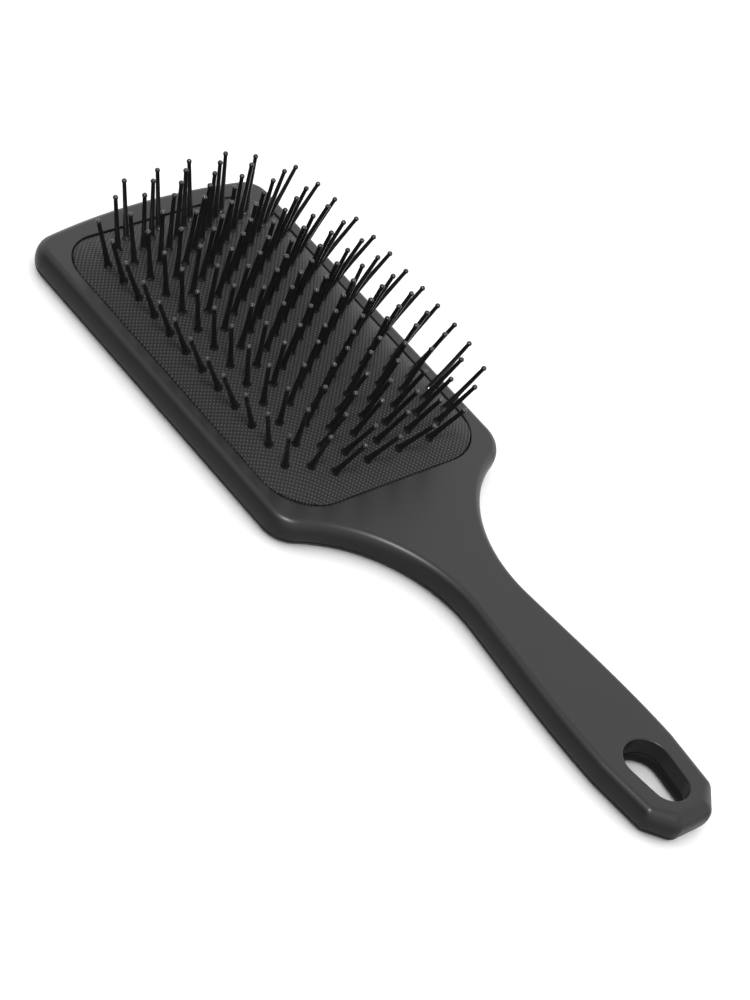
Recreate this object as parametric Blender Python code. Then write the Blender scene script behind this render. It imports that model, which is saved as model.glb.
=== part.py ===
"""Paddle hair brush: two moulded shells, a domed rubber air cushion and 27 rows of pins.

Metres, +Z up.  The brush lies on its back with the pins up and its handle towards +X.
The origin is on the back's plane, at the middle of the length.
"""
import math

import bmesh
import bpy
from mathutils import Vector

# Driving dimensions: body.
LENGTH = 0.2462
HALF_LENGTH = LENGTH / 2
FRONT_Z = 0.0090            # flat front face above the back's plane
WIDEST_Z = 0.0050           # the side is an oval, widest at this height
SEAM_Z = 0.0022             # where the two shells meet round the rim
GAP = 0.0003                # clearance between neighbouring pieces
WALL = 0.0018
SKIN = 0.0016               # thickness of the front face and of the back
FRONT_ROUND = 0.0026        # how far the side's upper half reaches in at the front face
BUTT_ROUND = 0.0040         # it reaches further at the handle's end
BUTT_ROUND_X = 0.1130       # where it starts to
BACK_ROUND = 0.0025         # how far the lower half reaches in at the back
FRONT_SIDE_ANGLES = (0, 30, 60, 90)     # rings of the oval side above and below its widest line
BACK_SIDE_ANGLES = (-90, -70, -50)

# Head.
HEAD_X = -0.0591            # centre of the cushion window
HEAD_HALF_WIDTH = 0.0414
FAR_BOW_RADIUS = 0.225      # the far edge bulges gently outwards
FAR_CORNER_RADIUS = 0.0079
SHOULDER_RADIUS = 0.0104
NECK_RADIUS = 0.0435        # hollow sweep from the shoulder into the handle

# Handle.
NECK_X = 0.0396             # narrowest place
NECK_HALF_WIDTH = 0.0098
GRIP_X = 0.0987             # widest place
GRIP_HALF_WIDTH = 0.01395
GRIP_SLOPE = 5.4            # degrees by which the side still opens past the neck
GRIP_EASE = 0.020           # length of the handles that ease the side from neck to grip
BUTT_CORNER = Vector((0.1162, 0.0125))
BUTT_END_HALF_WIDTH = 0.0064
BUTT_CORNER_RADIUS = 0.0036

# Hanging slot: the hull of two circles.
SLOT_HEAD_X = 0.1026
SLOT_HEAD_RADIUS = 0.0067
SLOT_BUTT_X = 0.1113
SLOT_BUTT_RADIUS = 0.0056
SLOT_SEAM_Z = 0.0038
SLOT_COUNTERSINK = 0.0016   # the slot flares by this much at the back

# Locating posts inside the handle.
POST_X = (0.012, 0.046, 0.080)
POST_RADIUS = 0.0015
SOCKET_RADIUS = 0.0030

# Cushion window and rubber cushion.
WINDOW_HALF_LENGTH = 0.05565
WINDOW_HALF_WIDTH = 0.0362
WINDOW_FAR_RADIUS = 0.0124
WINDOW_NEAR_RADIUS = 0.0145
LONG_SIDE_STOP = 0.0150     # extra points on the long sides keep the dome's rings even
GROOVE = 0.0004             # air line between the cushion and the window's edge
DOME_RISE = 0.0104
DOME_SINK = 0.0006          # the dome starts this far below the front face
DOME_POWER = 3.6
RUBBER = 0.0013
FLANGE_REACH = 0.0024       # how far the flange runs under the front face
FLANGE_TOP = FRONT_Z - SKIN - GAP
FLANGE_BOTTOM = FLANGE_TOP - 0.0012
CLAMP_WIDTH = 0.0018        # rail of the back shell that holds the flange up
DOME_SHARES = (0.04, 0.35, 0.60, 0.75, 0.87, 0.95, 1.0)     # rings, closer where the dome falls

# Pins.
ROW_COUNT = 27
COLUMN_COUNT = 11
ROW_PITCH = 0.003722
COLUMN_PITCH = 0.00598
COLUMN_BARREL = 0.05        # the columns draw in by this share at the ends of the window
PIN_LENGTH = 0.0182         # from the rubber's surface to the top of the ball
PIN_BASE_RADIUS = 0.00088
PIN_TIP_RADIUS = 0.00058
BALL_RADIUS = 0.00078
BALL_NECK = 2.2 * BALL_RADIUS   # the shaft ends this far below the top of the ball
BALL_FLAT = 0.5 * BALL_RADIUS   # radius of the ball's small flat top
PIN_HOLE_RADIUS = 0.00130
STRIP_DEPTH = 0.0023        # middle of the foot strip below the rubber's outer surface
STRIP_HALF_THICKNESS = 0.0004
STRIP_HALF_WIDTH = 0.0012
STRIP_END = 0.0016          # the strip runs this far past its outer pins

ARC_STEPS = 6
PIN_SIDES = 6


# ---------------------------------------------------------------- scene helpers
def clear_scene():
    for scene_object in list(bpy.data.objects):
        bpy.data.objects.remove(scene_object, do_unlink=True)


def collection(name):
    group = bpy.data.collections.new(name)
    bpy.context.scene.collection.children.link(group)
    return group


def plastic(name, colour, roughness):
    material = bpy.data.materials.new(name)
    material.use_nodes = True
    shader = material.node_tree.nodes["Principled BSDF"]
    shader.inputs["Base Color"].default_value = (*colour, 1.0)
    shader.inputs["Roughness"].default_value = roughness
    shader.inputs["Metallic"].default_value = 0.0
    material.diffuse_color = (*colour, 1.0)
    return material


def add_object(name, mesh_builder, group, place=Vector((0, 0, 0))):
    """Turn a bmesh into an object that stands at place; its faces are made to point out."""
    bmesh.ops.recalc_face_normals(mesh_builder, faces=mesh_builder.faces)
    mesh = bpy.data.meshes.new(name)
    mesh_builder.to_mesh(mesh)
    mesh_builder.free()
    new_object = bpy.data.objects.new(name, mesh)
    new_object.location = place
    group.objects.link(new_object)
    return new_object


def add_cutter(name, mesh_builder, place=Vector((0, 0, 0))):
    cutter = add_object(name, mesh_builder, CUTTERS, place)
    cutter.hide_render = True
    cutter.display_type = "WIRE"
    return cutter


def boolean(target, operand, operation):
    modifier = target.modifiers.new(operand.name, "BOOLEAN")
    modifier.object = operand
    modifier.operation = operation
    modifier.solver = "EXACT"


def finish_part(part, material):
    part.data.materials.append(material)
    part.data.shade_smooth()
    part.data.set_sharp_from_angle(angle=math.radians(35))


# ---------------------------------------------------------------- outlines
def arc(centre, radius, start, end, steps=ARC_STEPS):
    """Points on an arc, start and end in degrees, both ends included."""
    points = []
    for step in range(steps + 1):
        angle = math.radians(start + (end - start) * step / steps)
        points.append(centre + radius * Vector((math.cos(angle), math.sin(angle))))
    return points


def bezier(first, handle_a, handle_b, last, steps):
    """Points between two ends of a cubic curve, the first one left out."""
    points = []
    for step in range(1, steps + 1):
        t = step / steps
        s = 1 - t
        points.append(s**3 * first + 3 * s * s * t * handle_a
                      + 3 * s * t * t * handle_b + t**3 * last)
    return points


def rounded_corner(before, corner, after, radius, steps=3):
    """Arc that rounds the corner between two straight runs."""
    to_before = (before - corner).normalized()
    to_after = (after - corner).normalized()
    half_angle = to_before.angle(to_after) / 2
    bisector = (to_before + to_after).normalized()
    centre = corner + bisector * radius / math.sin(half_angle)
    start = corner + to_before * radius / math.tan(half_angle)
    end = corner + to_after * radius / math.tan(half_angle)
    first = (start - centre).normalized()
    last = (end - centre).normalized()
    return [centre + radius * first.slerp(last, step / steps) for step in range(steps + 1)]


def body_half_outline():
    """One side of the body in plan, from the middle of the far edge to the middle of the butt."""
    bow_centre = Vector((-HALF_LENGTH + FAR_BOW_RADIUS, 0))
    corner_y = HEAD_HALF_WIDTH - FAR_CORNER_RADIUS
    corner_reach = FAR_BOW_RADIUS - FAR_CORNER_RADIUS
    corner_angle = 180 - math.degrees(math.asin(corner_y / corner_reach))
    corner_x = bow_centre.x + corner_reach * math.cos(math.radians(corner_angle))
    points = arc(bow_centre, FAR_BOW_RADIUS, 180, corner_angle, 4)[:-1]
    points += arc(Vector((corner_x, corner_y)), FAR_CORNER_RADIUS, corner_angle, 90)

    neck_centre = Vector((NECK_X, NECK_HALF_WIDTH + NECK_RADIUS))
    shoulder_y = HEAD_HALF_WIDTH - SHOULDER_RADIUS
    rise = neck_centre.y - shoulder_y
    reach = NECK_RADIUS + SHOULDER_RADIUS
    shoulder_centre = Vector((neck_centre.x - math.sqrt(reach**2 - rise**2), shoulder_y))
    turn = math.degrees(math.atan2(rise, neck_centre.x - shoulder_centre.x))
    points += arc(shoulder_centre, SHOULDER_RADIUS, 90, turn, 5)
    points += arc(neck_centre, NECK_RADIUS, 180 + turn, 270 + GRIP_SLOPE, 10)[1:]

    start = points[-1]
    grip = Vector((GRIP_X, GRIP_HALF_WIDTH))
    slope = math.radians(GRIP_SLOPE)
    leaving = start + GRIP_EASE * Vector((math.cos(slope), math.sin(slope)))
    points += bezier(start, leaving, grip - Vector((GRIP_EASE, 0)), grip, 5)

    butt_end = Vector((HALF_LENGTH, BUTT_END_HALF_WIDTH))
    points += rounded_corner(grip, BUTT_CORNER, butt_end, BUTT_CORNER_RADIUS)
    points += rounded_corner(BUTT_CORNER, butt_end, Vector((HALF_LENGTH, 0)), BUTT_CORNER_RADIUS)
    points.append(Vector((HALF_LENGTH, 0)))
    return points


def body_outline():
    half = body_half_outline()
    other = [Vector((point.x, -point.y)) for point in reversed(half[1:-1])]
    return half + other


def window_outline():
    """Rounded rectangle of the cushion window, in the same sense as the body's outline."""
    corners = (
        (-1, 1, WINDOW_FAR_RADIUS, 180),
        (1, 1, WINDOW_NEAR_RADIUS, 90),
        (1, -1, WINDOW_NEAR_RADIUS, 0),
        (-1, -1, WINDOW_FAR_RADIUS, -90),
    )
    points = []
    for along, across, radius, start in corners:
        x = HEAD_X + along * (WINDOW_HALF_LENGTH - radius)
        y = across * (WINDOW_HALF_WIDTH - radius)
        points += arc(Vector((x, y)), radius, start, start - 90)
        if along != across:         # a long side follows
            for stop in (along * LONG_SIDE_STOP, -along * LONG_SIDE_STOP):
                points.append(Vector((HEAD_X + stop, across * WINDOW_HALF_WIDTH)))
    return points


def slot_outline():
    """Hull of the slot's two circles, in the same sense as the body's outline."""
    distance = SLOT_BUTT_X - SLOT_HEAD_X
    tilt = math.degrees(math.acos((SLOT_HEAD_RADIUS - SLOT_BUTT_RADIUS) / distance))
    points = arc(Vector((SLOT_HEAD_X, 0)), SLOT_HEAD_RADIUS, 360 - tilt, tilt, 12)
    points += arc(Vector((SLOT_BUTT_X, 0)), SLOT_BUTT_RADIUS, tilt, -tilt, 8)
    return points


def circle_outline(x, radius):
    return arc(Vector((x, 0)), radius, 360, 30, 11)


def grown(outline, distance):
    """The outline moved outwards by distance, or inwards when it is negative."""
    moved = []
    count = len(outline)
    for index, point in enumerate(outline):
        before = (point - outline[index - 1]).normalized()
        after = (outline[(index + 1) % count] - point).normalized()
        along = (before + after).normalized()
        outward = Vector((-along.y, along.x))
        moved.append(point + outward * distance / max(0.5, along.dot(after)))
    return moved


def distance_to(outline, place):
    """Shortest distance from a place to the closed outline."""
    best = math.inf
    for index, point in enumerate(outline):
        edge = point - outline[index - 1]
        share = (place - outline[index - 1]).dot(edge) / edge.length_squared
        nearest = outline[index - 1] + edge * max(0.0, min(1.0, share))
        best = min(best, (place - nearest).length)
    return best


def shrunk(outline, distance):
    """The outline moved inwards, without the loops a deep inset leaves at tight corners."""
    kept = []
    for place in grown(outline, -distance):
        if distance_to(outline, place) < 0.98 * distance:
            continue
        if not kept or (place - kept[-1]).length > GAP:
            kept.append(place)
    return kept


# ---------------------------------------------------------------- solids from outlines
def loft(levels):
    """Closed solid through equal rings of 3-D points, capped at both ends."""
    builder = bmesh.new()
    rings = [[builder.verts.new(point) for point in level] for level in levels]
    count = len(rings[0])
    for lower, upper in zip(rings, rings[1:]):
        for index in range(count):
            after = (index + 1) % count
            builder.faces.new((lower[index], lower[after], upper[after], upper[index]))
    builder.faces.new(rings[0])
    builder.faces.new(rings[-1])
    return builder


def level(outline, z):
    return [Vector((point.x, point.y, z)) for point in outline]


def prism(outline, low, high):
    return loft([level(outline, low), level(outline, high)])


def front_round(x):
    """How far the front's outer rounding reaches in, at a place along the brush."""
    share = max(0.0, min(1.0, (x - BUTT_ROUND_X) / (HALF_LENGTH - BUTT_ROUND_X)))
    return FRONT_ROUND + (BUTT_ROUND - FRONT_ROUND) * share * share * (3 - 2 * share)


def side_level(outline, angle):
    """Ring of the body's oval side: 0 degrees at its widest, 90 at the front, -90 at the back."""
    turn = math.radians(angle)
    height = FRONT_Z - WIDEST_Z if angle > 0 else WIDEST_Z
    z = WIDEST_Z + height * math.sin(turn)
    ring = []
    for point, edge in zip(outline, grown(outline, -1)):
        reach = front_round(point.x) if angle > 0 else BACK_ROUND
        place = point + (edge - point) * reach * (1 - math.cos(turn))
        ring.append(Vector((place.x, place.y, z)))
    return ring


def side_angle(z):
    """Angle of the side's ring at a height below the widest line."""
    return -math.degrees(math.asin((WIDEST_Z - z) / WIDEST_Z))


# ---------------------------------------------------------------- shells
def make_front_shell(material):
    body = body_outline()
    slot = slot_outline()
    angles = (side_angle(SEAM_Z + GAP), *FRONT_SIDE_ANGLES)
    rings = [side_level(body, angle) for angle in angles]
    shell = add_object("front_shell", loft(rings), PARTS)

    ceiling = FRONT_Z - SKIN
    cavity = add_cutter("front_cavity", prism(grown(body, -WALL), 0, ceiling))
    boss = prism(grown(slot, WALL), SLOT_SEAM_Z, FRONT_Z)
    boolean(cavity, add_cutter("front_slot_boss", boss), "DIFFERENCE")
    for number, x in enumerate(POST_X, start=1):
        socket = prism(circle_outline(x, SOCKET_RADIUS), SLOT_SEAM_Z, FRONT_Z)
        boolean(cavity, add_cutter(f"socket_{number}", socket), "DIFFERENCE")
    boolean(shell, cavity, "DIFFERENCE")

    window = add_cutter("window", prism(window_outline(), SEAM_Z, 2 * FRONT_Z))
    boolean(shell, window, "DIFFERENCE")
    hole = add_cutter("front_slot", prism(slot, 0, 2 * FRONT_Z))
    boolean(shell, hole, "DIFFERENCE")
    for number, x in enumerate(POST_X, start=1):
        bore = prism(circle_outline(x, POST_RADIUS + GAP), 0, ceiling)
        boolean(shell, add_cutter(f"socket_bore_{number}", bore), "DIFFERENCE")
    finish_part(shell, material)


def make_back_shell(material):
    body = body_outline()
    slot = slot_outline()
    angles = (*BACK_SIDE_ANGLES, side_angle(SEAM_Z))
    rings = [side_level(body, angle) for angle in angles]
    shell = add_object("back_shell", loft(rings), PARTS)

    lip_outer = grown(body, -WALL - GAP)
    lip_inner = shrunk(body, WALL + GAP + SKIN)
    lip = prism(lip_outer, SEAM_Z - GAP, SEAM_Z + WALL)
    boolean(shell, add_cutter("locating_lip", lip), "UNION")

    hollow = add_cutter("back_hollow", prism(lip_inner, SKIN, FRONT_Z))
    rail = prism(grown(window_outline(), CLAMP_WIDTH / 2), 0, FLANGE_BOTTOM - GAP)
    rail_inside = prism(grown(window_outline(), -CLAMP_WIDTH / 2), -SKIN, FRONT_Z)
    rail_ring = add_cutter("clamp_rail", rail)
    boolean(rail_ring, add_cutter("clamp_rail_inside", rail_inside), "DIFFERENCE")
    boss = prism(grown(slot, WALL), 0, SLOT_SEAM_Z - GAP)
    slot_boss = add_cutter("back_slot_boss", boss)
    boolean(hollow, slot_boss, "DIFFERENCE")
    boolean(shell, hollow, "DIFFERENCE")
    boolean(shell, rail_ring, "UNION")
    boolean(shell, slot_boss, "UNION")
    for number, x in enumerate(POST_X, start=1):
        post = prism(circle_outline(x, POST_RADIUS), SKIN / 2, FRONT_Z - SKIN - 2 * GAP)
        boolean(shell, add_cutter(f"post_{number}", post), "UNION")

    wide = grown(slot, 2 * SLOT_COUNTERSINK)
    flare = [level(wide, -SLOT_COUNTERSINK), level(slot, SLOT_COUNTERSINK),
             level(slot, FRONT_Z)]
    boolean(shell, add_cutter("back_slot", loft(flare)), "DIFFERENCE")
    finish_part(shell, material)


# ---------------------------------------------------------------- rubber cushion
def dome_height(x, y):
    """Height of the cushion's outer surface: flat-topped, falling away towards the window."""
    along = min(1.0, abs(x - HEAD_X) / WINDOW_HALF_LENGTH)
    across = min(1.0, abs(y) / WINDOW_HALF_WIDTH)
    share = (1 - along**DOME_POWER) * (1 - across**DOME_POWER)
    return FRONT_Z - DOME_SINK + DOME_RISE * share


def dome_normal(x, y):
    step = 0.0001
    slope_x = (dome_height(x + step, y) - dome_height(x - step, y)) / (2 * step)
    slope_y = (dome_height(x, y + step) - dome_height(x, y - step)) / (2 * step)
    return Vector((-slope_x, -slope_y, 1)).normalized()


def dome_ring(outline, share, drop):
    """The outline shrunk towards the window's centre and laid on the dome, drop below it."""
    centre = Vector((HEAD_X, 0))
    ring = []
    for point in outline:
        place = centre + (point - centre) * share
        ring.append(Vector((place.x, place.y, dome_height(place.x, place.y) - drop)))
    return ring


def make_cushion(material):
    window = window_outline()
    outer = grown(window, -GROOVE)
    inner = grown(window, -GROOVE - RUBBER)
    flange = grown(window, FLANGE_REACH)
    rings = [dome_ring(outer, share, 0) for share in DOME_SHARES]
    rings += [level(outer, FLANGE_TOP), level(flange, FLANGE_TOP)]
    rings += [level(flange, FLANGE_BOTTOM), level(inner, FLANGE_BOTTOM)]
    rings += [dome_ring(inner, share, RUBBER) for share in reversed(DOME_SHARES)]
    cushion = add_object("rubber_cushion", loft(rings), PARTS)

    holes = bmesh.new()
    for row in range(ROW_COUNT):
        for x, y in row_places(row):
            add_pin(holes, x, y, ((-3 * RUBBER, PIN_HOLE_RADIUS), (2 * RUBBER, PIN_HOLE_RADIUS)))
    boolean(cushion, add_cutter("pin_holes", holes), "DIFFERENCE")
    finish_part(cushion, material)


# ---------------------------------------------------------------- pins
def row_x(row):
    return HEAD_X + (row - (ROW_COUNT - 1) / 2) * ROW_PITCH


def row_places(row):
    """Plan positions of one row's pins; neighbouring rows are staggered by one column."""
    x = row_x(row)
    along = (x - HEAD_X) / WINDOW_HALF_LENGTH
    is_end_row = row in (0, ROW_COUNT - 1)
    places = []
    for column in range(row % 2, COLUMN_COUNT, 2):
        if is_end_row and column in (0, COLUMN_COUNT - 1):
            continue
        offset = (column - (COLUMN_COUNT - 1) / 2) * COLUMN_PITCH
        places.append((x, offset * (1 - COLUMN_BARREL * along**2)))
    return places


def add_pin(builder, x, y, profile, origin=Vector((0, 0, 0))):
    """Turned solid square to the dome at (x, y); profile is (height along the pin, radius)."""
    axis = dome_normal(x, y)
    foot = Vector((x, y, dome_height(x, y))) - origin
    side = axis.orthogonal().normalized()
    other = axis.cross(side)
    rings = []
    for height, radius in profile:
        ring = []
        for index in range(PIN_SIDES):
            angle = 2 * math.pi * index / PIN_SIDES
            reach = radius * (math.cos(angle) * side + math.sin(angle) * other)
            ring.append(builder.verts.new(foot + height * axis + reach))
        rings.append(ring)
    for lower, upper in zip(rings, rings[1:]):
        for index in range(PIN_SIDES):
            after = (index + 1) % PIN_SIDES
            builder.faces.new((lower[index], lower[after], upper[after], upper[index]))
    builder.faces.new(list(reversed(rings[0])))
    builder.faces.new(rings[-1])


def foot_strip(places, origin):
    """Thin strip under the rubber that carries the feet of one row's pins."""
    x = places[0][0]
    stations = [places[0][1] - STRIP_END]
    stations += [y for _, y in places]
    stations.append(places[-1][1] + STRIP_END)
    levels = []
    for y in stations:
        axis = dome_normal(x, y)
        middle = Vector((x, y, dome_height(x, y))) - STRIP_DEPTH * axis - origin
        along = Vector((0, 1, 0)).cross(axis).normalized() * STRIP_HALF_WIDTH
        thick = axis * STRIP_HALF_THICKNESS
        levels.append([middle - along - thick, middle + along - thick,
                       middle + along + thick, middle - along + thick])
    return loft(levels)


def make_pin_row(row, material):
    places = row_places(row)
    origin = Vector((row_x(row), 0, dome_height(row_x(row), 0)))
    name = f"pin_row_{row + 1:02d}"
    strip = add_object(name, foot_strip(places, origin), PARTS, origin)
    profile = (
        (-STRIP_DEPTH, PIN_BASE_RADIUS),
        (PIN_LENGTH - BALL_NECK, PIN_TIP_RADIUS),
        (PIN_LENGTH - BALL_RADIUS, BALL_RADIUS),
        (PIN_LENGTH, BALL_FLAT),
    )
    shafts = bmesh.new()
    for x, y in places:
        add_pin(shafts, x, y, profile, origin)
    boolean(strip, add_cutter(f"{name}_shafts", shafts, origin), "UNION")
    finish_part(strip, material)


clear_scene()
PARTS = collection("paddle_brush")
CUTTERS = collection("cutters")
make_front_shell(plastic("front_plastic", (0.066, 0.066, 0.067), 0.48))
make_back_shell(plastic("back_plastic", (0.064, 0.064, 0.065), 0.50))
make_cushion(plastic("cushion_rubber", (0.040, 0.040, 0.040), 0.60))
PIN_NYLON = plastic("pin_nylon", (0.008, 0.008, 0.008), 0.28)
for row_number in range(ROW_COUNT):
    make_pin_row(row_number, PIN_NYLON)
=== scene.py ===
"""Looks of the paddle brush: satin black shells, a dotted rubber cushion and glossy nylon pins.

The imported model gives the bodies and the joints; every visible piece here stands for one of its
nodes and rides on that node's body.  Metres, +Z up, pins up, handle towards +X.
"""
import math
import random

import bmesh
import bpy
from mathutils import Matrix, Vector


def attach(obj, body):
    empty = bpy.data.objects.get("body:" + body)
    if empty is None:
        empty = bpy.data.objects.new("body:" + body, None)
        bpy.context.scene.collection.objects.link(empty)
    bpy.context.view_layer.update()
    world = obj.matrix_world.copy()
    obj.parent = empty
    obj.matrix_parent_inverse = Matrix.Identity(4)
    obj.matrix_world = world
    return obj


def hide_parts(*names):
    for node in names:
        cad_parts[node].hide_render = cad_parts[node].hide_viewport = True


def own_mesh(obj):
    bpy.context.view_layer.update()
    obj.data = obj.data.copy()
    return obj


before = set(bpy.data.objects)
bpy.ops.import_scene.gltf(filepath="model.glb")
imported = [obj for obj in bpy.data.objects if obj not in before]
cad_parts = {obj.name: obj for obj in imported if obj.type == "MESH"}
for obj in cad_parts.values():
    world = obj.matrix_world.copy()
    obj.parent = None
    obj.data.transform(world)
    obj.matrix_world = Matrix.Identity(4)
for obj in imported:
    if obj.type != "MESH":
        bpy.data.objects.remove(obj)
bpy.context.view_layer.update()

# Body, as the CAD has it.
HALF_LENGTH = 0.1231
FRONT_Z = 0.0090
WIDEST_Z = 0.0050
SEAM_Z = 0.0022
SEAM_GAP = 0.0003
SEAM_ROUND = 0.0002
SKIN = 0.0016
WALL = 0.0018
FRONT_ROUND = 0.0026
BUTT_ROUND = 0.0040
BUTT_ROUND_X = 0.1130
BACK_ROUND = 0.0025
HEAD_X = -0.0591
HEAD_HALF_WIDTH = 0.0414
FAR_BOW_RADIUS = 0.225
FAR_CORNER_RADIUS = 0.0079
SHOULDER_RADIUS = 0.0104
NECK_RADIUS = 0.0435
NECK_X = 0.0396
NECK_HALF_WIDTH = 0.0098
GRIP_X = 0.0987
GRIP_HALF_WIDTH = 0.01395
GRIP_SLOPE = 5.4
GRIP_EASE = 0.020
BUTT_CORNER = Vector((0.1162, 0.0125))
BUTT_END_HALF_WIDTH = 0.0064
BUTT_CORNER_RADIUS = 0.0036

# Hanging slot.
SLOT_HEAD_X = 0.1026
SLOT_HEAD_RADIUS = 0.0067
SLOT_BUTT_X = 0.1113
SLOT_BUTT_RADIUS = 0.0056
SLOT_SEAM_Z = 0.0038
SLOT_ROUND = 0.0005
SLOT_BACK_INSET = 0.0006
SLOT_BACK_INSET_Z = 0.0026
SLOT_COUNTERSINK = 0.0016

# Cushion window and cushion.
WINDOW_HALF_LENGTH = 0.05565
WINDOW_HALF_WIDTH = 0.0362
WINDOW_FAR_RADIUS = 0.0124
WINDOW_NEAR_RADIUS = 0.0145
WINDOW_FILLET = 0.0004
GROOVE = 0.0004
DOME_RISE = 0.0104
DOME_SINK = 0.0006
DOME_POWER = 3.6
RUBBER = 0.0013
FLANGE_REACH = 0.0024
FLANGE_TOP = FRONT_Z - SKIN - 0.0003
FLANGE_BOTTOM = FLANGE_TOP - 0.0012
DOT_PITCH = 0.0010
DOT_CORE = 0.18
DOT_EDGE = 0.42
SURFACE_PLACE = "surface_place"

# Pins.
ROW_COUNT = 27
COLUMN_COUNT = 11
ROW_PITCH = 0.003722
COLUMN_PITCH = 0.00598
COLUMN_BARREL = 0.05
PIN_LENGTH = 0.0180
PIN_SIDES = 16
PIN_WOBBLE = math.radians(1.1)
PIN_SEED = 7
SHAFT_BASE_RADIUS = 0.00088
SHAFT_WAIST_RADIUS = 0.00066
SHAFT_TIP_RADIUS = 0.00058
SHAFT_WAIST_SHARE = 0.45
BALL_RADIUS = 0.00078
FOOT_FLARE = 0.00042
FOOT_HEIGHT = 0.0014
FOOT_DEPTH = 0.0012

# How finely the curves are cut.
ARC_STEPS = 18
LONG_ARC_STEPS = 36
SLOT_BUTT_STEPS = 30
STRAIGHT_STEPS = 20
WINDOW_SIDE_STEPS = 24
SEAM_STEPS = 4
LOWER_SIDE_STEPS = 6
UPPER_SIDE_STEPS = 16
BACK_SIDE_STEPS = 10
FILLET_STEPS = 5
SLOT_ROUND_STEPS = 8
DOME_RINGS = 40
DOME_CROWDING = 1.6
INSIDE_RINGS = 10
FOOT_STEPS = 6
BALL_STEPS = 8

# Limit on how far a mitred corner is pushed out, and the angles above which an edge stays sharp.
MITRE_LIMIT = 0.5
SHELL_CREASE = math.radians(50)
RUBBER_CREASE = math.radians(60)

# Light: a white dome that is dark low on one side, and a lamp near the camera.  Angles in degrees.
DARK_AZIMUTH = -102
DARK_FROM = 0.60
DARK_TO = 0.98
DOME_RADIANCE = 3.0
DARK_RADIANCE = 0.25
KEY_AZIMUTH = -60
KEY_ELEVATION = 60
KEY_DISTANCE = 1.0
KEY_SIDE = 0.14
KEY_RADIANCE = 340
FLOOR_SIZE = 6
FLOOR_DROP = 0.0002
FLOOR_SHADE = 0.50

# Camera.  Angles in degrees, lens and sensor in millimetres.
CAMERA_AZIMUTH = -55.86
CAMERA_ELEVATION = 41.42
CAMERA_ROLL = 23.88
CAMERA_TARGET = Vector((-0.00571, -0.00197, 0))
CAMERA_DISTANCE = 0.9084
CAMERA_LENS = 120.7
CAMERA_SENSOR = 36
WORLD_UP = Vector((0, 0, 1))


# ---------------------------------------------------------------- outlines
def arc(centre, radius, start, end, steps=ARC_STEPS):
    """Points on an arc, start and end in degrees, both ends included."""
    points = []
    for step in range(steps + 1):
        angle = math.radians(start + (end - start) * step / steps)
        points.append(centre + radius * Vector((math.cos(angle), math.sin(angle))))
    return points


def bezier(first, handle_a, handle_b, last, steps):
    """Points between two ends of a cubic curve, the first one left out."""
    points = []
    for step in range(1, steps + 1):
        t = step / steps
        s = 1 - t
        points.append(s**3 * first + 3 * s * s * t * handle_a
                      + 3 * s * t * t * handle_b + t**3 * last)
    return points


def evenly_between(first, last, count):
    """Points that split the stretch between two places, both ends left out."""
    return [first.lerp(last, step / count) for step in range(1, count)]


def rounded_corner(before, corner, after, radius, steps=8):
    """Arc that rounds the corner between two straight runs."""
    to_before = (before - corner).normalized()
    to_after = (after - corner).normalized()
    half_angle = to_before.angle(to_after) / 2
    bisector = (to_before + to_after).normalized()
    centre = corner + bisector * radius / math.sin(half_angle)
    start = corner + to_before * radius / math.tan(half_angle)
    end = corner + to_after * radius / math.tan(half_angle)
    first = (start - centre).normalized()
    last = (end - centre).normalized()
    return [centre + radius * first.slerp(last, step / steps) for step in range(steps + 1)]


def body_half_outline():
    """One side of the body in plan, from the middle of the far edge to the middle of the butt."""
    bow_centre = Vector((-HALF_LENGTH + FAR_BOW_RADIUS, 0))
    corner_y = HEAD_HALF_WIDTH - FAR_CORNER_RADIUS
    corner_reach = FAR_BOW_RADIUS - FAR_CORNER_RADIUS
    corner_angle = 180 - math.degrees(math.asin(corner_y / corner_reach))
    corner_x = bow_centre.x + corner_reach * math.cos(math.radians(corner_angle))
    points = arc(bow_centre, FAR_BOW_RADIUS, 180, corner_angle)[:-1]
    points += arc(Vector((corner_x, corner_y)), FAR_CORNER_RADIUS, corner_angle, 90)

    neck_centre = Vector((NECK_X, NECK_HALF_WIDTH + NECK_RADIUS))
    shoulder_y = HEAD_HALF_WIDTH - SHOULDER_RADIUS
    rise = neck_centre.y - shoulder_y
    reach = NECK_RADIUS + SHOULDER_RADIUS
    shoulder_centre = Vector((neck_centre.x - math.sqrt(reach**2 - rise**2), shoulder_y))
    turn = math.degrees(math.atan2(rise, neck_centre.x - shoulder_centre.x))
    points += evenly_between(points[-1], Vector((shoulder_centre.x, HEAD_HALF_WIDTH)),
                             STRAIGHT_STEPS)
    points += arc(shoulder_centre, SHOULDER_RADIUS, 90, turn)
    points += arc(neck_centre, NECK_RADIUS, 180 + turn, 270 + GRIP_SLOPE, LONG_ARC_STEPS)[1:]

    start = points[-1]
    grip = Vector((GRIP_X, GRIP_HALF_WIDTH))
    slope = math.radians(GRIP_SLOPE)
    along = Vector((math.cos(slope), math.sin(slope)))
    points += bezier(start, start + GRIP_EASE * along, grip - Vector((GRIP_EASE, 0)), grip,
                     STRAIGHT_STEPS)

    butt_end = Vector((HALF_LENGTH, BUTT_END_HALF_WIDTH))
    points += rounded_corner(grip, BUTT_CORNER, butt_end, BUTT_CORNER_RADIUS)
    points += rounded_corner(BUTT_CORNER, butt_end, Vector((HALF_LENGTH, 0)), BUTT_CORNER_RADIUS)
    points.append(Vector((HALF_LENGTH, 0)))
    return points


def body_outline():
    half = body_half_outline()
    other = [Vector((point.x, -point.y)) for point in reversed(half[1:-1])]
    return half + other


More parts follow.
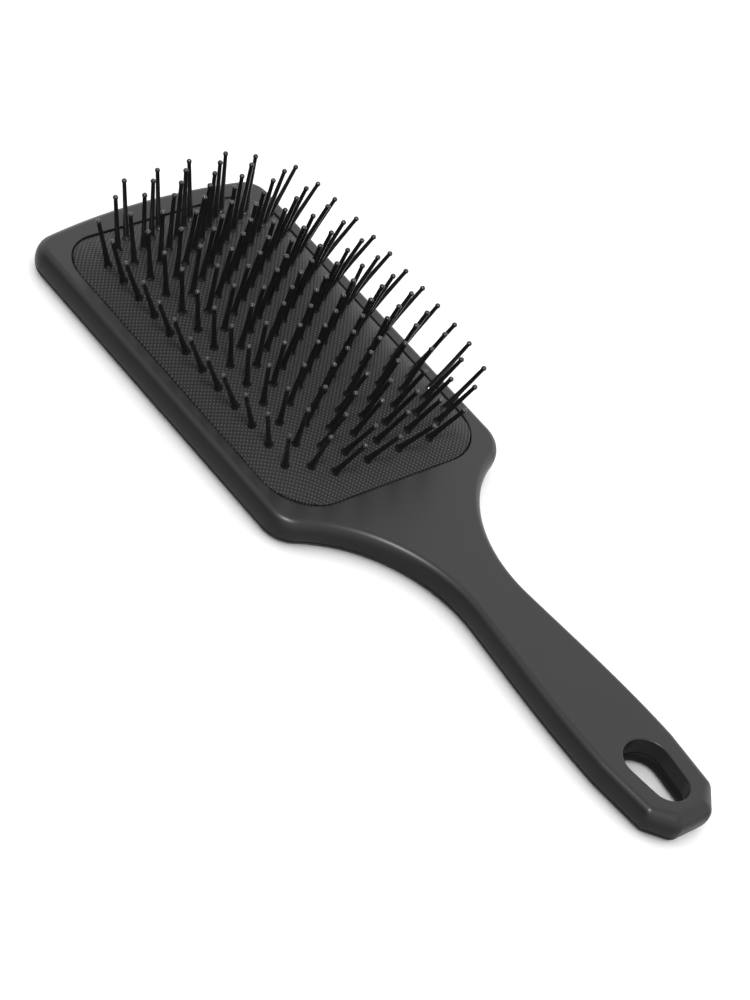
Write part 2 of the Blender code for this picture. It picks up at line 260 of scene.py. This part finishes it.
def window_outline():
    """Rounded rectangle of the cushion window, in the same sense as the body's outline."""
    corners = (
        (-1, 1, WINDOW_FAR_RADIUS, 180),
        (1, 1, WINDOW_NEAR_RADIUS, 90),
        (1, -1, WINDOW_NEAR_RADIUS, 0),
        (-1, -1, WINDOW_FAR_RADIUS, -90),
    )
    arcs = []
    for along, across, radius, start in corners:
        x = HEAD_X + along * (WINDOW_HALF_LENGTH - radius)
        y = across * (WINDOW_HALF_WIDTH - radius)
        arcs.append(arc(Vector((x, y)), radius, start, start - 90))
    points = []
    for index, corner in enumerate(arcs):
        following = arcs[(index + 1) % len(arcs)]
        points += corner
        points += evenly_between(corner[-1], following[0], WINDOW_SIDE_STEPS)
    return points


def slot_outline():
    """Hull of the slot's two circles, in the same sense as the body's outline."""
    distance = SLOT_BUTT_X - SLOT_HEAD_X
    tilt = math.degrees(math.acos((SLOT_HEAD_RADIUS - SLOT_BUTT_RADIUS) / distance))
    points = arc(Vector((SLOT_HEAD_X, 0)), SLOT_HEAD_RADIUS, 360 - tilt, tilt, LONG_ARC_STEPS)
    points += arc(Vector((SLOT_BUTT_X, 0)), SLOT_BUTT_RADIUS, tilt, -tilt, SLOT_BUTT_STEPS)
    return points


def grown(outline, distance):
    """The outline moved outwards by distance, or inwards when it is negative."""
    moved = []
    count = len(outline)
    for index, point in enumerate(outline):
        before = (point - outline[index - 1]).normalized()
        after = (outline[(index + 1) % count] - point).normalized()
        along = (before + after).normalized()
        outward = Vector((-along.y, along.x))
        moved.append(point + outward * distance / max(MITRE_LIMIT, along.dot(after)))
    return moved


# ---------------------------------------------------------------- mesh helpers
def ring(builder, outline, z):
    return [builder.verts.new((point.x, point.y, z)) for point in outline]


def bridge(builder, lower, upper):
    count = len(lower)
    for index in range(count):
        after = (index + 1) % count
        builder.faces.new((lower[index], lower[after], upper[after], upper[index]))


def bridge_all(builder, rings):
    for lower, upper in zip(rings, rings[1:]):
        bridge(builder, lower, upper)


def flat_cap(builder, *loops):
    """Fills the flat region between the first loop and the loops inside it."""
    edges = []
    for loop in loops:
        for index, vert in enumerate(loop):
            following = loop[(index + 1) % len(loop)]
            edge = builder.edges.get((vert, following)) or builder.edges.new((vert, following))
            edges.append(edge)
    bmesh.ops.triangle_fill(builder, use_beauty=True, use_dissolve=False, edges=edges)


def front_round(x):
    """How far the front's outer rounding reaches in, at a place along the brush."""
    share = max(0.0, min(1.0, (x - BUTT_ROUND_X) / (HALF_LENGTH - BUTT_ROUND_X)))
    return FRONT_ROUND + (BUTT_ROUND - FRONT_ROUND) * share * share * (3 - 2 * share)


def side_ring(builder, outline, angle, extra_inset=0.0):
    """Ring of the body's oval side: 0 degrees at its widest, 90 at the front, -90 at the back."""
    turn = math.radians(angle)
    height = FRONT_Z - WIDEST_Z if angle > 0 else WIDEST_Z
    z = WIDEST_Z + height * math.sin(turn)
    verts = []
    for point, edge in zip(outline, grown(outline, -1)):
        reach = front_round(point.x) if angle > 0 else BACK_ROUND
        inset = reach * (1 - math.cos(turn)) + extra_inset
        place = point + (edge - point) * inset
        verts.append(builder.verts.new((place.x, place.y, z)))
    return verts


def side_angle(z):
    """Angle of the side's ring at a height below the widest line."""
    return -math.degrees(math.asin((WIDEST_Z - z) / WIDEST_Z))


def angles_between(start, end, steps):
    return [start + (end - start) * step / steps for step in range(steps + 1)]


def quarter(radius, steps):
    """(inset, drop) along a quarter round, from the wall's end to the face's end."""
    values = []
    for step in range(steps + 1):
        angle = math.radians(90 * step / steps)
        values.append((radius * (1 - math.cos(angle)), radius * (1 - math.sin(angle))))
    return values


def add_piece(name, builder, material, node, body):
    """Makes the visible piece that stands for a CAD node and rides on its body."""
    bmesh.ops.recalc_face_normals(builder, faces=builder.faces)
    mesh = bpy.data.meshes.new(name)
    builder.to_mesh(mesh)
    builder.free()
    mesh.materials.append(material)
    mesh.shade_smooth()
    piece = bpy.data.objects.new(name, mesh)
    bpy.context.scene.collection.objects.link(piece)
    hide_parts(node)
    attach(piece, body)
    return piece


def keep_flats_flat(piece):
    """Shades big flat faces flat and lets the rounds beside them carry the turn."""
    piece.data.set_sharp_from_angle(angle=SHELL_CREASE)
    modifier = piece.modifiers.new("weighted_normals", "WEIGHTED_NORMAL")
    modifier.mode = "FACE_AREA"
    modifier.keep_sharp = True


# ---------------------------------------------------------------- shells
def make_front_shell(material):
    """Face, oval side down to the seam, window wall and upper half of the slot's wall."""
    builder = bmesh.new()
    body = body_outline()
    window = window_outline()
    slot = slot_outline()
    ceiling = FRONT_Z - SKIN
    seam = SEAM_Z + SEAM_GAP

    outside = [ring(builder, grown(body, -WALL), ceiling)]
    outside.append(ring(builder, grown(body, -WALL), seam))
    for inset, drop in reversed(quarter(SEAM_ROUND, SEAM_STEPS)):
        outside.append(side_ring(builder, body, side_angle(seam + drop), inset))
    for angle in angles_between(side_angle(seam + SEAM_ROUND), 0, LOWER_SIDE_STEPS)[1:]:
        outside.append(side_ring(builder, body, angle))
    for angle in angles_between(0, 90, UPPER_SIDE_STEPS)[1:]:
        outside.append(side_ring(builder, body, angle))
    bridge_all(builder, outside)

    window_wall = [ring(builder, window, ceiling)]
    for inset, drop in quarter(WINDOW_FILLET, FILLET_STEPS):
        window_wall.append(ring(builder, grown(window, inset), FRONT_Z - drop))
    bridge_all(builder, window_wall)

    slot_wall = [ring(builder, grown(slot, WALL), ceiling)]
    slot_wall.append(ring(builder, grown(slot, WALL), SLOT_SEAM_Z))
    slot_wall.append(ring(builder, slot, SLOT_SEAM_Z))
    for inset, drop in quarter(SLOT_ROUND, SLOT_ROUND_STEPS):
        slot_wall.append(ring(builder, grown(slot, inset), FRONT_Z - drop))
    bridge_all(builder, slot_wall)

    flat_cap(builder, outside[-1], window_wall[-1], slot_wall[-1])
    flat_cap(builder, outside[0], window_wall[0], slot_wall[0])
    piece = add_piece("front_shell_skin", builder, material, "front_shell", "shell")
    keep_flats_flat(piece)


def make_back_shell(material):
    """Flat back, side up to the seam, and lower half of the slot's wall with its flare."""
    builder = bmesh.new()
    body = body_outline()
    slot = slot_outline()
    slot_top = SLOT_SEAM_Z - SEAM_GAP

    outside = []
    for angle in angles_between(-90, side_angle(SEAM_Z - SEAM_ROUND), BACK_SIDE_STEPS):
        outside.append(side_ring(builder, body, angle))
    for inset, drop in quarter(SEAM_ROUND, SEAM_STEPS)[1:]:
        outside.append(side_ring(builder, body, side_angle(SEAM_Z - drop), inset))
    outside.append(ring(builder, grown(body, -WALL), SEAM_Z))
    outside.append(ring(builder, grown(body, -WALL), SKIN))
    bridge_all(builder, outside)

    slot_wall = []
    for inset, drop in reversed(quarter(SLOT_COUNTERSINK, SLOT_ROUND_STEPS)):
        slot_wall.append(ring(builder, grown(slot, inset - SLOT_BACK_INSET), drop))
    slot_wall.append(ring(builder, grown(slot, -SLOT_BACK_INSET), SLOT_BACK_INSET_Z))
    slot_wall.append(ring(builder, slot, slot_top))
    slot_wall.append(ring(builder, grown(slot, WALL), slot_top))
    slot_wall.append(ring(builder, grown(slot, WALL), SKIN))
    bridge_all(builder, slot_wall)

    flat_cap(builder, outside[0], slot_wall[0])
    flat_cap(builder, outside[-1], slot_wall[-1])
    piece = add_piece("back_shell_skin", builder, material, "back_shell", "shell")
    keep_flats_flat(piece)


# ---------------------------------------------------------------- rubber cushion
def dome_height(x, y):
    """Height of the cushion's outer surface: flat-topped, falling away towards the window."""
    along = min(1.0, abs(x - HEAD_X) / WINDOW_HALF_LENGTH)
    across = min(1.0, abs(y) / WINDOW_HALF_WIDTH)
    share = (1 - along**DOME_POWER) * (1 - across**DOME_POWER)
    return FRONT_Z - DOME_SINK + DOME_RISE * share


def dome_normal(x, y):
    step = 0.0001
    slope_x = (dome_height(x + step, y) - dome_height(x - step, y)) / (2 * step)
    slope_y = (dome_height(x, y + step) - dome_height(x, y - step)) / (2 * step)
    return Vector((-slope_x, -slope_y, 1)).normalized()


def surface_distance(height_at, end, steps=16):
    """Length of the curve height_at(t) from 0 to end, with end's sign."""
    length = 0.0
    before = height_at(0.0)
    for step in range(1, steps + 1):
        after = height_at(end * step / steps)
        length += math.hypot(end / steps, after - before)
        before = after
    return math.copysign(length, end)


def keep_surface_places(piece):
    """Stores each point's distances along the dome, so that no dot is stretched on its slopes."""
    places = piece.data.attributes.new(SURFACE_PLACE, "FLOAT_VECTOR", "POINT")
    for vertex in piece.data.vertices:
        x, y, _ = vertex.co
        along = surface_distance(lambda t: dome_height(HEAD_X + t, y), x - HEAD_X)
        across = surface_distance(lambda t: dome_height(x, t), y)
        places.data[vertex.index].vector = (along, across, 0)


def dome_ring(builder, outline, share, drop):
    """The outline shrunk towards the window's centre and laid on the dome, drop below it."""
    centre = Vector((HEAD_X, 0))
    verts = []
    for point in outline:
        place = centre + (point - centre) * share
        verts.append(builder.verts.new((place.x, place.y, dome_height(place.x, place.y) - drop)))
    return verts


def make_cushion(material):
    """Hollow rubber dome with a flange; its rings stand closer together near the window."""
    builder = bmesh.new()
    window = window_outline()
    outer = grown(window, -GROOVE)
    inner = grown(window, -GROOVE - RUBBER)
    flange = grown(window, FLANGE_REACH)
    steps = range(1, DOME_RINGS + 1)
    outside_shares = [1 - (1 - step / DOME_RINGS) ** DOME_CROWDING for step in steps]
    inside_shares = [step / INSIDE_RINGS for step in range(1, INSIDE_RINGS + 1)]
    rings = [dome_ring(builder, outer, share, 0) for share in outside_shares]
    rings.append(ring(builder, outer, FLANGE_TOP))
    rings.append(ring(builder, flange, FLANGE_TOP))
    rings.append(ring(builder, flange, FLANGE_BOTTOM))
    rings.append(ring(builder, inner, FLANGE_BOTTOM))
    rings += [dome_ring(builder, inner, share, RUBBER) for share in reversed(inside_shares)]
    bridge_all(builder, rings)
    builder.faces.new(rings[0])
    builder.faces.new(rings[-1])
    piece = add_piece("cushion_rubber_dome", builder, material, "rubber_cushion", "shell")
    piece.data.set_sharp_from_angle(angle=RUBBER_CREASE)
    keep_surface_places(piece)
    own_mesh(piece)


# ---------------------------------------------------------------- pins
def row_x(row):
    return HEAD_X + (row - (ROW_COUNT - 1) / 2) * ROW_PITCH


def row_places(row):
    """Plan positions of one row's pins; neighbouring rows are staggered by one column."""
    x = row_x(row)
    along = (x - HEAD_X) / WINDOW_HALF_LENGTH
    is_end_row = row in (0, ROW_COUNT - 1)
    places = []
    for column in range(row % 2, COLUMN_COUNT, 2):
        if is_end_row and column in (0, COLUMN_COUNT - 1):
            continue
        offset = (column - (COLUMN_COUNT - 1) / 2) * COLUMN_PITCH
        places.append((x, offset * (1 - COLUMN_BARREL * along**2)))
    return places


def pin_profile():
    """(height, radius) from the foot to the top of the ball: flared foot, tapered shaft, ball."""
    profile = [(-FOOT_DEPTH, SHAFT_BASE_RADIUS + FOOT_FLARE)]
    for step in range(FOOT_STEPS + 1):
        share = step / FOOT_STEPS
        profile.append((FOOT_HEIGHT * share, SHAFT_BASE_RADIUS + FOOT_FLARE * (1 - share) ** 2))
    ball_centre = PIN_LENGTH - BALL_RADIUS
    neck_reach = math.sqrt(BALL_RADIUS**2 - SHAFT_TIP_RADIUS**2)
    neck_height = ball_centre - neck_reach
    profile.append((SHAFT_WAIST_SHARE * neck_height, SHAFT_WAIST_RADIUS))
    profile.append((neck_height, SHAFT_TIP_RADIUS))
    neck_angle = math.acos(-neck_reach / BALL_RADIUS)
    for step in range(1, BALL_STEPS + 1):
        angle = neck_angle * (1 - step / BALL_STEPS)
        profile.append((ball_centre + BALL_RADIUS * math.cos(angle), BALL_RADIUS * math.sin(angle)))
    return profile


def add_pin(builder, x, y, profile, chance):
    """Turned pin square to the dome at (x, y), give or take a little wobble."""
    axis = dome_normal(x, y)
    wobble = Vector((chance.gauss(0, 1), chance.gauss(0, 1), 0)) * PIN_WOBBLE
    axis = (axis + wobble).normalized()
    foot = Vector((x, y, dome_height(x, y)))
    side = axis.orthogonal().normalized()
    other = axis.cross(side)
    rings = []
    for height, radius in profile[:-1]:
        verts = []
        for index in range(PIN_SIDES):
            angle = 2 * math.pi * index / PIN_SIDES
            reach = radius * (math.cos(angle) * side + math.sin(angle) * other)
            verts.append(builder.verts.new(foot + height * axis + reach))
        rings.append(verts)
    bridge_all(builder, rings)
    builder.faces.new(rings[0])
    top = builder.verts.new(foot + profile[-1][0] * axis)
    for index in range(PIN_SIDES):
        builder.faces.new((rings[-1][index], rings[-1][(index + 1) % PIN_SIDES], top))


def make_pin_row(row, material, profile, chance):
    builder = bmesh.new()
    for x, y in row_places(row):
        add_pin(builder, x, y, profile, chance)
    node = f"pin_row_{row + 1:02d}"
    add_piece(f"pins_{row + 1:02d}", builder, material, node, node)


def make_pins(material):
    profile = pin_profile()
    chance = random.Random(PIN_SEED)
    for row in range(ROW_COUNT):
        make_pin_row(row, material, profile, chance)


# ---------------------------------------------------------------- materials
def new_material(name):
    material = bpy.data.materials.new(name)
    material.use_nodes = True
    return material, material.node_tree.nodes, material.node_tree.links


def set_reflection(shader, ior, level):
    shader.inputs["IOR"].default_value = ior
    shader.inputs["Specular IOR Level"].default_value = level


def grey(value, blue=None):
    """Opaque grey, with its blue channel set apart if one is given."""
    return (value, value, value if blue is None else blue, 1)


def add_noise(nodes, links, scale, detail):
    """Noise in the piece's own space, 0 to 1."""
    coordinates = nodes.new("ShaderNodeTexCoord")
    noise = nodes.new("ShaderNodeTexNoise")
    noise.inputs["Scale"].default_value = scale
    noise.inputs["Detail"].default_value = detail
    links.new(coordinates.outputs["Object"], noise.inputs["Vector"])
    return noise.outputs["Fac"]


def add_smooth_step(nodes, links, source, start, end, low, high):
    """Eases from low to high while the source goes from start to end."""
    step = nodes.new("ShaderNodeMapRange")
    step.interpolation_type = "SMOOTHSTEP"
    step.inputs["From Min"].default_value = start
    step.inputs["From Max"].default_value = end
    step.inputs["To Min"].default_value = low
    step.inputs["To Max"].default_value = high
    links.new(source, step.inputs["Value"])
    return step.outputs["Result"]


def drive_colour(nodes, links, factor, low, high):
    """The shader's colour runs from low to high with a 0 to 1 factor."""
    colour = nodes.new("ShaderNodeMix")
    colour.data_type = "RGBA"
    colour.inputs["A"].default_value = low
    colour.inputs["B"].default_value = high
    links.new(factor, colour.inputs["Factor"])
    links.new(colour.outputs["Result"], nodes["Principled BSDF"].inputs["Base Color"])


def drive_roughness(nodes, links, factor, low, high):
    """The shader's roughness runs from low to high with a 0 to 1 factor."""
    mapping = nodes.new("ShaderNodeMapRange")
    mapping.inputs["To Min"].default_value = low
    mapping.inputs["To Max"].default_value = high
    links.new(factor, mapping.inputs["Value"])
    links.new(mapping.outputs["Result"], nodes["Principled BSDF"].inputs["Roughness"])


def drive_bump(nodes, links, height, strength, distance):
    bump = nodes.new("ShaderNodeBump")
    bump.inputs["Strength"].default_value = strength
    bump.inputs["Distance"].default_value = distance
    links.new(height, bump.inputs["Height"])
    links.new(bump.outputs["Normal"], nodes["Principled BSDF"].inputs["Normal"])


def satin_plastic(name, shade, reflection):
    """Soft-touch black: fine moulded grain, faint mottling in colour and gloss."""
    material, nodes, links = new_material(name)
    set_reflection(nodes["Principled BSDF"], 1.48, reflection)
    mottle = add_noise(nodes, links, scale=90.0, detail=3.0)
    grain = add_noise(nodes, links, scale=5200.0, detail=2.0)
    dark = grey(shade * 0.92, blue=shade * 0.93)
    light = grey(shade * 1.08, blue=shade * 1.09)
    drive_colour(nodes, links, mottle, dark, light)
    drive_roughness(nodes, links, mottle, 0.33, 0.41)
    drive_bump(nodes, links, grain, strength=0.25, distance=0.00003)
    return material


def add_dots(nodes, links):
    """Height of small round dots on a square lattice turned by 45 degrees, 0 to 1."""
    place = nodes.new("ShaderNodeAttribute")
    place.attribute_name = SURFACE_PLACE
    turned = nodes.new("ShaderNodeMapping")
    turned.inputs["Rotation"].default_value = (0, 0, math.radians(45))
    turned.inputs["Scale"].default_value = (1 / DOT_PITCH, 1 / DOT_PITCH, 0)
    links.new(place.outputs["Vector"], turned.inputs["Vector"])
    cell = nodes.new("ShaderNodeVectorMath")
    cell.operation = "FRACTION"
    links.new(turned.outputs["Vector"], cell.inputs[0])
    from_middle = nodes.new("ShaderNodeVectorMath")
    from_middle.operation = "DISTANCE"
    from_middle.inputs[1].default_value = (0.5, 0.5, 0)
    links.new(cell.outputs["Vector"], from_middle.inputs[0])
    return add_smooth_step(nodes, links, from_middle.outputs["Value"], DOT_CORE, DOT_EDGE, 1.0, 0.0)


def dotted_rubber(name, shade):
    """Matt black rubber with small raised dots; its colour is painted darker in the hollows between
    them as painted shade, and paler on the dots.
    """
    material, nodes, links = new_material(name)
    set_reflection(nodes["Principled BSDF"], 1.5, 0.10)
    dots = add_dots(nodes, links)
    # Painted shade: the colour is darker in the hollows between the dots and paler on the dots
    # themselves.
    drive_colour(nodes, links, dots, grey(shade * 0.35), grey(shade * 1.90))
    drive_roughness(nodes, links, dots, 0.62, 0.50)
    drive_bump(nodes, links, dots, strength=0.8, distance=0.00030)
    return material


def glossy_nylon(name, shade):
    """Near-black moulded nylon, glossy, with faint flow marks."""
    material, nodes, links = new_material(name)
    set_reflection(nodes["Principled BSDF"], 1.52, 0.22)
    flow = add_noise(nodes, links, scale=260.0, detail=1.0)
    drive_colour(nodes, links, flow, grey(shade * 0.8), grey(shade * 1.2))
    drive_roughness(nodes, links, flow, 0.14, 0.18)
    return material


# ---------------------------------------------------------------- floor, light and camera
def direction(azimuth, elevation):
    """Unit vector towards a place in the sky given in degrees."""
    azimuth = math.radians(azimuth)
    elevation = math.radians(elevation)
    return Vector((math.cos(elevation) * math.cos(azimuth),
                   math.cos(elevation) * math.sin(azimuth), math.sin(elevation)))


def make_floor():
    bpy.ops.mesh.primitive_plane_add(size=FLOOR_SIZE, location=(0, 0, -FLOOR_DROP))
    floor = bpy.context.object
    floor.name = "floor"
    material, nodes, _ = new_material("floor_pale")
    nodes["Principled BSDF"].inputs["Base Color"].default_value = grey(FLOOR_SHADE)
    nodes["Principled BSDF"].inputs["Roughness"].default_value = 0.9
    floor.data.materials.append(material)
    return floor


def make_key():
    """Square lamp near the camera, for the pins' shadows and the dots of light on their balls."""
    away = direction(KEY_AZIMUTH, KEY_ELEVATION)
    data = bpy.data.lights.new("key", "AREA")
    data.shape = "RECTANGLE"
    data.size = KEY_SIDE
    data.size_y = KEY_SIDE
    data.energy = KEY_RADIANCE * math.pi * KEY_SIDE * KEY_SIDE
    key = bpy.data.objects.new("key", data)
    key.location = KEY_DISTANCE * away
    key.rotation_euler = away.to_track_quat("Z", "Y").to_euler()
    bpy.context.scene.collection.objects.link(key)
    return key


def keep_off(light, floor):
    """Takes the floor out of a light's reach, so that the brush throws no second shadow on it."""
    reach = bpy.data.collections.new(light.name + "_reach")
    reach.objects.link(floor)
    reach.collection_objects[0].light_linking.link_state = "EXCLUDE"
    light.light_linking.receiver_collection = reach


def make_world():
    """White studio dome that is dark low down on the side the brush is seen from."""
    world = bpy.data.worlds.new("studio")
    world.use_nodes = True
    nodes, links = world.node_tree.nodes, world.node_tree.links
    coordinates = nodes.new("ShaderNodeTexCoord")
    toward_dark = nodes.new("ShaderNodeVectorMath")
    toward_dark.operation = "DOT_PRODUCT"
    toward_dark.inputs[1].default_value = direction(DARK_AZIMUTH, 0)
    links.new(coordinates.outputs["Generated"], toward_dark.inputs[0])
    strength = add_smooth_step(nodes, links, toward_dark.outputs["Value"],
                               DARK_FROM, DARK_TO, DOME_RADIANCE, DARK_RADIANCE)
    nodes["Background"].inputs["Color"].default_value = grey(1)
    links.new(strength, nodes["Background"].inputs["Strength"])
    bpy.context.scene.world = world


def make_camera():
    toward = direction(CAMERA_AZIMUTH, CAMERA_ELEVATION)
    level = WORLD_UP.cross(toward).normalized()
    upright = toward.cross(level)
    roll = math.radians(CAMERA_ROLL)
    right = math.cos(roll) * level + math.sin(roll) * upright
    up = -math.sin(roll) * level + math.cos(roll) * upright
    data = bpy.data.cameras.new("camera")
    data.sensor_fit = "VERTICAL"
    data.sensor_height = CAMERA_SENSOR
    data.lens = CAMERA_LENS
    data.clip_start = 0.01
    camera = bpy.data.objects.new("camera", data)
    turn = Matrix((right, up, toward)).transposed().to_4x4()
    camera.matrix_world = Matrix.Translation(CAMERA_TARGET + CAMERA_DISTANCE * toward) @ turn
    bpy.context.scene.collection.objects.link(camera)
    bpy.context.scene.camera = camera


make_front_shell(satin_plastic("front_satin", shade=0.0032, reflection=0.155))
make_back_shell(satin_plastic("back_satin", shade=0.0030, reflection=0.09))
make_cushion(dotted_rubber("cushion_dots", shade=0.0084))
make_pins(glossy_nylon("pin_gloss", shade=0.003))
make_world()
keep_off(make_key(), make_floor())
make_camera()
bpy.context.scene.view_settings.view_transform = "Standard"
